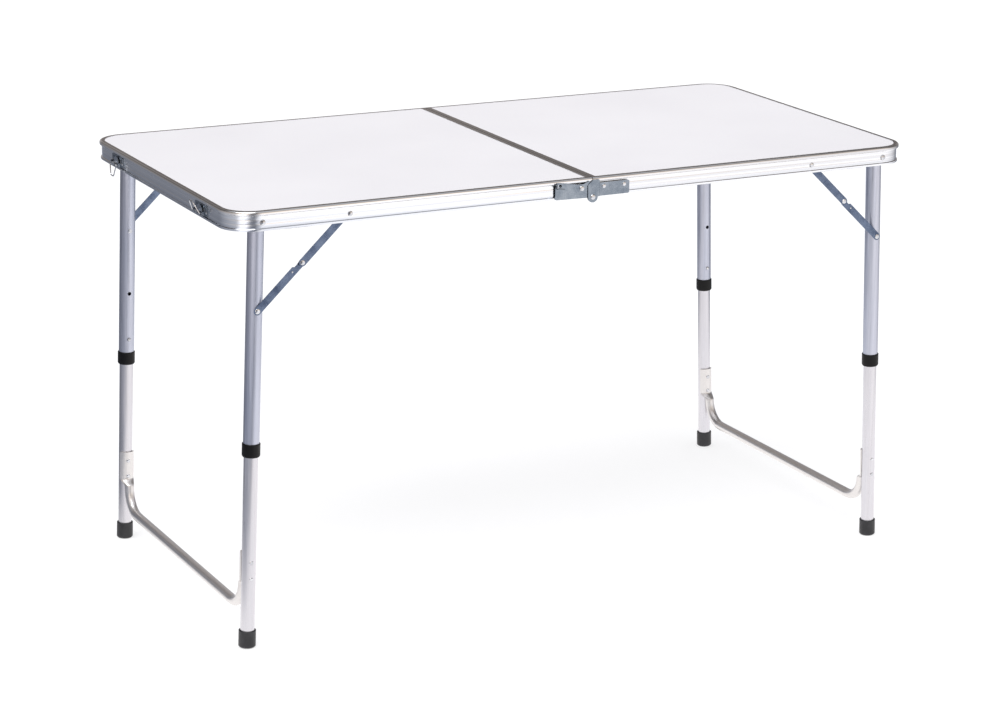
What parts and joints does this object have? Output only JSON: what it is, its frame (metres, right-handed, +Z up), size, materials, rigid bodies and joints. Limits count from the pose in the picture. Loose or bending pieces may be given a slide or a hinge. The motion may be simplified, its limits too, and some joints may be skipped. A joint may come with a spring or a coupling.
{
  "type": "folding table",
  "caption": "Portable aluminium folding table with a two-part white top, telescopic legs, folding braces and suitcase clasps.",
  "frame": {"origin": "on the floor under the middle of the open table", "axes": "+X along the table's length towards the right half, -Y to its front, +Z up"},
  "size_m": [1.2175, 0.613, 0.686],
  "materials": {
    "aluminium_frame": "satin",
    "aluminium_tube": "satin anodised",
    "white_board": "white laminate, satin",
    "black_plastic": "satin",
    "zinc_steel": "zinc plated"
  },
  "bodies": {
    "left_top": {"left_panel": "white_board", "left_edge_frame": "aluminium_frame", "left_seam_rail": "aluminium_frame", "left_front_leg_pivot": "zinc_steel", "left_front_brace_rivet": "zinc_steel", "front_hinge_leaf_left": "zinc_steel", "left_rear_leg_pivot": "zinc_steel", "left_rear_brace_rivet": "zinc_steel", "rear_hinge_leaf_left": "zinc_steel", "front_lock_rivet": "zinc_steel", "front_clasp_base": "zinc_steel", "rear_lock_rivet": "zinc_steel", "rear_clasp_base": "zinc_steel"},
    "right_top": {"right_panel": "white_board", "right_edge_frame": "aluminium_frame", "right_seam_rail": "aluminium_frame", "right_front_leg_pivot": "zinc_steel", "right_front_brace_rivet": "zinc_steel", "front_hinge_leaf_right": "zinc_steel", "right_rear_leg_pivot": "zinc_steel", "right_rear_brace_rivet": "zinc_steel", "rear_hinge_leaf_right": "zinc_steel", "front_clasp_catch": "zinc_steel", "rear_clasp_catch": "zinc_steel"},
    "left_legs": {"left_front_upper_tube": "aluminium_tube", "left_front_collar": "black_plastic", "left_rear_upper_tube": "aluminium_tube", "left_rear_collar": "black_plastic"},
    "left_lower_legs": {"left_front_lower_tube": "aluminium_tube", "left_front_foot": "black_plastic", "left_rear_lower_tube": "aluminium_tube", "left_rear_foot": "black_plastic", "left_crossbar": "aluminium_tube"},
    "left_front_upper_brace": {"left_front_brace_upper": "zinc_steel"},
    "left_front_lower_brace": {"left_front_brace_lower": "zinc_steel"},
    "left_front_button": {"left_front_snap_button": "zinc_steel"},
    "left_rear_upper_brace": {"left_rear_brace_upper": "zinc_steel"},
    "left_rear_lower_brace": {"left_rear_brace_lower": "zinc_steel"},
    "left_rear_button": {"left_rear_snap_button": "zinc_steel"},
    "right_legs": {"right_front_upper_tube": "aluminium_tube", "right_front_collar": "black_plastic", "right_rear_upper_tube": "aluminium_tube", "right_rear_collar": "black_plastic"},
    "right_lower_legs": {"right_front_lower_tube": "aluminium_tube", "right_front_foot": "black_plastic", "right_rear_lower_tube": "aluminium_tube", "right_rear_foot": "black_plastic", "right_crossbar": "aluminium_tube"},
    "right_front_upper_brace": {"right_front_brace_upper": "zinc_steel"},
    "right_front_lower_brace": {"right_front_brace_lower": "zinc_steel"},
    "right_front_button": {"right_front_snap_button": "zinc_steel"},
    "right_rear_upper_brace": {"right_rear_brace_upper": "zinc_steel"},
    "right_rear_lower_brace": {"right_rear_brace_lower": "zinc_steel"},
    "right_rear_button": {"right_rear_snap_button": "zinc_steel"},
    "front_lock": {"front_lock_lever": "zinc_steel"},
    "front_clasp_arm": {"front_clasp_lever": "zinc_steel"},
    "front_bail": {"front_clasp_bail": "zinc_steel"},
    "rear_lock": {"rear_lock_lever": "zinc_steel"},
    "rear_clasp_arm": {"rear_clasp_lever": "zinc_steel"},
    "rear_bail": {"rear_clasp_bail": "zinc_steel"}
  },
  "joints": [
    {"name": "top_fold", "type": "hinge", "parent": "left_top", "child": "right_top", "pos_m": [0, 0, 0.6555], "axis": [0, 1, 0], "range_deg": [0, 75]},
    {"name": "left_leg_fold", "type": "hinge", "parent": "left_top", "child": "left_legs", "pos_m": [-0.5475, 0, 0.6685], "axis": [0, -1, 0], "range_deg": [0, 89]},
    {"name": "left_leg_slide", "type": "slide", "parent": "left_legs", "child": "left_lower_legs", "axis": [0.037, 0, 0.9993], "range_m": [0, 0.148]},
    {"name": "left_front_upper_brace_turn", "type": "hinge", "parent": "left_top", "child": "left_front_upper_brace", "pos_m": [-0.4081, -0.2867, 0.6685], "axis": [0, -1, 0], "range_deg": [-38.6, 0]},
    {"name": "left_front_lower_brace_turn", "type": "hinge", "parent": "left_legs", "child": "left_front_lower_brace", "pos_m": [-0.55257, -0.2837, 0.53159], "axis": [0, -1, 0], "range_deg": [0, 48.28]},
    {"name": "left_front_button_press", "type": "slide", "parent": "left_legs", "child": "left_front_button", "axis": [0, 1, 0], "range_m": [-0.0022, 0], "stiffness_N_per_m": 200},
    {"name": "left_rear_upper_brace_turn", "type": "hinge", "parent": "left_top", "child": "left_rear_upper_brace", "pos_m": [-0.4081, 0.2867, 0.6685], "axis": [0, -1, 0], "range_deg": [-38.6, 0]},
    {"name": "left_rear_lower_brace_turn", "type": "hinge", "parent": "left_legs", "child": "left_rear_lower_brace", "pos_m": [-0.55257, 0.2837, 0.53159], "axis": [0, -1, 0], "range_deg": [0, 48.28]},
    {"name": "left_rear_button_press", "type": "slide", "parent": "left_legs", "child": "left_rear_button", "axis": [0, -1, 0], "range_m": [-0.0022, 0], "stiffness_N_per_m": 200},
    {"name": "right_leg_fold", "type": "hinge", "parent": "right_top", "child": "right_legs", "pos_m": [0.5475, 0, 0.6685], "axis": [0, 1, 0], "range_deg": [0, 89]},
    {"name": "right_leg_slide", "type": "slide", "parent": "right_legs", "child": "right_lower_legs", "axis": [-0.037, 0, 0.9993], "range_m": [0, 0.148]},
    {"name": "right_front_upper_brace_turn", "type": "hinge", "parent": "right_top", "child": "right_front_upper_brace", "pos_m": [0.4081, -0.2867, 0.6685], "axis": [0, 1, 0], "range_deg": [-38.6, 0]},
    {"name": "right_front_lower_brace_turn", "type": "hinge", "parent": "right_legs", "child": "right_front_lower_brace", "pos_m": [0.55257, -0.2837, 0.53159], "axis": [0, 1, 0], "range_deg": [0, 48.28]},
    {"name": "right_front_button_press", "type": "slide", "parent": "right_legs", "child": "right_front_button", "axis": [0, 1, 0], "range_m": [-0.0022, 0], "stiffness_N_per_m": 200},
    {"name": "right_rear_upper_brace_turn", "type": "hinge", "parent": "right_top", "child": "right_rear_upper_brace", "pos_m": [0.4081, 0.2867, 0.6685], "axis": [0, 1, 0], "range_deg": [-38.6, 0]},
    {"name": "right_rear_lower_brace_turn", "type": "hinge", "parent": "right_legs", "child": "right_rear_lower_brace", "pos_m": [0.55257, 0.2837, 0.53159], "axis": [0, 1, 0], "range_deg": [0, 48.28]},
    {"name": "right_rear_button_press", "type": "slide", "parent": "right_legs", "child": "right_rear_button", "axis": [0, -1, 0], "range_m": [-0.0022, 0], "stiffness_N_per_m": 200},
    {"name": "front_lock_turn", "type": "hinge", "parent": "left_top", "child": "front_lock", "pos_m": [-0.02, -0.30135, 0.671], "axis": [0, -1, 0], "range_deg": [0, 30]},
    {"name": "front_clasp_lever_turn", "type": "hinge", "parent": "left_top", "child": "front_clasp_arm", "pos_m": [-0.6013, -0.18, 0.6643], "axis": [0, -1, 0], "range_deg": [0, 60]},
    {"name": "front_bail_turn", "type": "hinge", "parent": "front_clasp_arm", "child": "front_bail", "pos_m": [-0.6053, -0.18, 0.6655], "axis": [0, -1, 0], "range_deg": [0, 95]},
    {"name": "rear_lock_turn", "type": "hinge", "parent": "left_top", "child": "rear_lock", "pos_m": [-0.02, 0.30135, 0.671], "axis": [0, -1, 0], "range_deg": [0, 30]},
    {"name": "rear_clasp_lever_turn", "type": "hinge", "parent": "left_top", "child": "rear_clasp_arm", "pos_m": [-0.6013, 0.18, 0.6643], "axis": [0, -1, 0], "range_deg": [0, 60]},
    {"name": "rear_bail_turn", "type": "hinge", "parent": "rear_clasp_arm", "child": "rear_bail", "pos_m": [-0.6053, 0.18, 0.6655], "axis": [0, -1, 0], "range_deg": [-60.5, 0]}
  ],
  "couplings": [
    {"joint": "left_front_upper_brace_turn", "follows": "left_leg_fold", "ratio": -0.43315},
    {"joint": "left_front_lower_brace_turn", "follows": "left_leg_fold", "ratio": 0.54196},
    {"joint": "left_rear_upper_brace_turn", "follows": "left_leg_fold", "ratio": -0.43315},
    {"joint": "left_rear_lower_brace_turn", "follows": "left_leg_fold", "ratio": 0.54196},
    {"joint": "right_front_upper_brace_turn", "follows": "right_leg_fold", "ratio": -0.43315},
    {"joint": "right_front_lower_brace_turn", "follows": "right_leg_fold", "ratio": 0.54196},
    {"joint": "right_rear_upper_brace_turn", "follows": "right_leg_fold", "ratio": -0.43315},
    {"joint": "right_rear_lower_brace_turn", "follows": "right_leg_fold", "ratio": 0.54196},
    {"joint": "rear_bail_turn", "follows": "rear_clasp_lever_turn", "ratio": -1}
  ]
}
